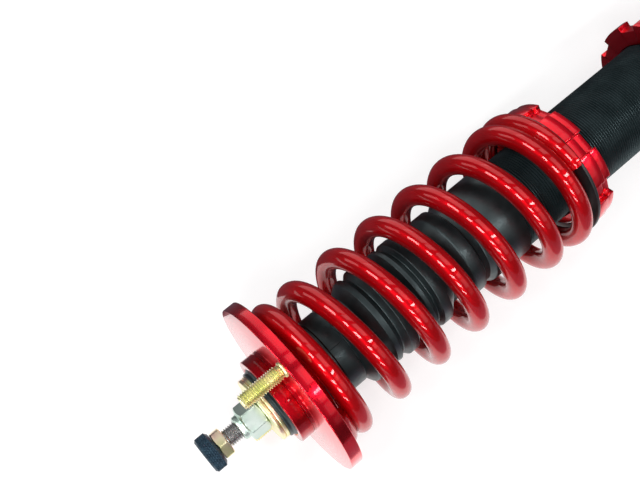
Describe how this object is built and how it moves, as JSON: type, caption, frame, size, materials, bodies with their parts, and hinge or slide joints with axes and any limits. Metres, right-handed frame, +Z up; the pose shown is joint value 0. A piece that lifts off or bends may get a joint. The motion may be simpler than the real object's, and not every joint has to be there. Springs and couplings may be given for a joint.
{
  "type": "coilover strut",
  "caption": "Adjustable coil-over-damper strut: two-stud top mount, coil spring on a threaded body with slotted collars, dust boot, adjuster knob and lower eye.",
  "frame": {"origin": "centre of the lower eye's bolt hole", "axes": "+Z up the damper axis to the adjuster knob, +Y along the lower eye's bolt hole, +X towards one mount stud"},
  "size_m": [0.101, 0.101, 0.4491],
  "materials": {
    "red_anodised": "turned and polished, deep red anodised",
    "red_spring_coat": "gloss red powder coat",
    "black_coated_steel": "satin black coated thread",
    "black_rubber": "satin moulded rubber",
    "black_plastic": "satin moulded plastic",
    "yellow_zinc": "yellow zinc plated",
    "bright_zinc": "bright zinc plated",
    "knob_black": "knurled, satin black anodised",
    "hard_chrome": "ground and hard chromed",
    "plain_steel": "turned steel",
    "plain_aluminium": "turned aluminium",
    "urethane": "foamed polyurethane",
    "nylon": "moulded nylon"
  },
  "bodies": {
    "lower_bracket": {"lower_bracket": "red_anodised", "bracket_socket": "red_anodised", "eye_bush": "black_rubber"},
    "eye_sleeve": {"eye_sleeve": "bright_zinc"},
    "lower_lock_ring": {"lower_lock_ring": "red_anodised"},
    "base_cap": {"base_cap": "plain_aluminium", "gas_filler_plug": "plain_steel"},
    "damper_body": {"threaded_tube": "black_coated_steel", "seal_head": "plain_aluminium", "oil_seal": "black_rubber", "wiper_seal": "black_rubber", "head_seal_ring": "black_rubber", "gland_ring": "plain_steel", "dust_boot": "black_rubber"},
    "floating_piston": {"floating_piston": "plain_aluminium", "floating_piston_ring": "black_rubber"},
    "piston_rod": {"piston_rod": "hard_chrome", "piston": "plain_aluminium", "piston_band": "nylon", "rebound_shims": "plain_steel", "compression_shims": "plain_steel", "piston_nut": "plain_steel", "rebound_bumper": "urethane", "bump_stop": "urethane", "boot_carrier": "black_plastic", "bush_washer_lower": "yellow_zinc", "crush_sleeve": "bright_zinc", "bush_washer_upper": "yellow_zinc", "nut_washer": "yellow_zinc", "lock_nut": "bright_zinc", "nylon_insert": "nylon", "adjuster_housing": "yellow_zinc", "detent_ball": "plain_steel"},
    "top_mount": {"top_mount": "red_anodised", "mount_studs": "yellow_zinc", "bush_upper": "black_rubber", "bush_lower": "black_rubber"},
    "adjuster_knob": {"adjuster_knob": "knob_black", "adjuster_needle": "plain_aluminium", "grub_screw": "plain_steel"},
    "spring_seat": {"spring_isolator": "black_plastic", "spring": "red_spring_coat"},
    "perch_collar": {"perch_collar": "red_anodised"},
    "perch_lock_ring": {"perch_lock_ring": "red_anodised"}
  },
  "joints": [
    {"name": "eye_twist", "type": "hinge", "parent": "lower_bracket", "child": "eye_sleeve", "pos_m": [0, 0, 0], "axis": [0, 1, 0], "range_deg": [-20, 20], "stiffness_Nm_per_rad": 60},
    {"name": "lower_lock_turn", "type": "hinge", "parent": "lower_bracket", "child": "lower_lock_ring", "pos_m": [0, 0, 0.096], "axis": [0, 0, 1], "range_deg": [0, 40]},
    {"name": "ride_height", "type": "slide", "parent": "lower_bracket", "child": "base_cap", "axis": [0, 0, 1], "range_m": [-0.009, 0.024]},
    {"name": "body_screw", "type": "hinge", "parent": "base_cap", "child": "damper_body", "pos_m": [0, 0, 0.05], "axis": [0, 0, 1], "range_deg": [-2160, 5760]},
    {"name": "damper_stroke", "type": "slide", "parent": "damper_body", "child": "piston_rod", "axis": [0, 0, -1], "range_m": [0, 0.062], "stiffness_N_per_m": 58840, "deforming": ["spring", "dust_boot"]},
    {"name": "floating_piston_slide", "type": "slide", "parent": "damper_body", "child": "floating_piston", "axis": [0, 0, -1], "range_m": [0, 0.0055]},
    {"name": "mount_swivel", "type": "hinge", "parent": "piston_rod", "child": "top_mount", "pos_m": [0, 0, 0.3763], "axis": [0, 0, 1], "continuous": true},
    {"name": "knob_turn", "type": "hinge", "parent": "piston_rod", "child": "adjuster_knob", "pos_m": [0, 0, 0.4197], "axis": [0, 0, 1], "range_deg": [-360, 360]},
    {"name": "preload_travel", "type": "slide", "parent": "damper_body", "child": "spring_seat", "axis": [0, 0, 1], "range_m": [-0.03, 0]},
    {"name": "perch_turn", "type": "hinge", "parent": "spring_seat", "child": "perch_collar", "pos_m": [0, 0, 0.1826], "axis": [0, 0, 1], "range_deg": [-7200, 0]},
    {"name": "perch_lock_turn", "type": "hinge", "parent": "perch_collar", "child": "perch_lock_ring", "pos_m": [0, 0, 0.18], "axis": [0, 0, 1], "range_deg": [-40, 0]}
  ],
  "couplings": [
    {"joint": "body_screw", "follows": "ride_height", "rad_per_m": 4188.8},
    {"joint": "perch_turn", "follows": "preload_travel", "rad_per_m": 4188.8},
    {"joint": "floating_piston_slide", "follows": "damper_stroke", "ratio": 0.0807}
  ]
}
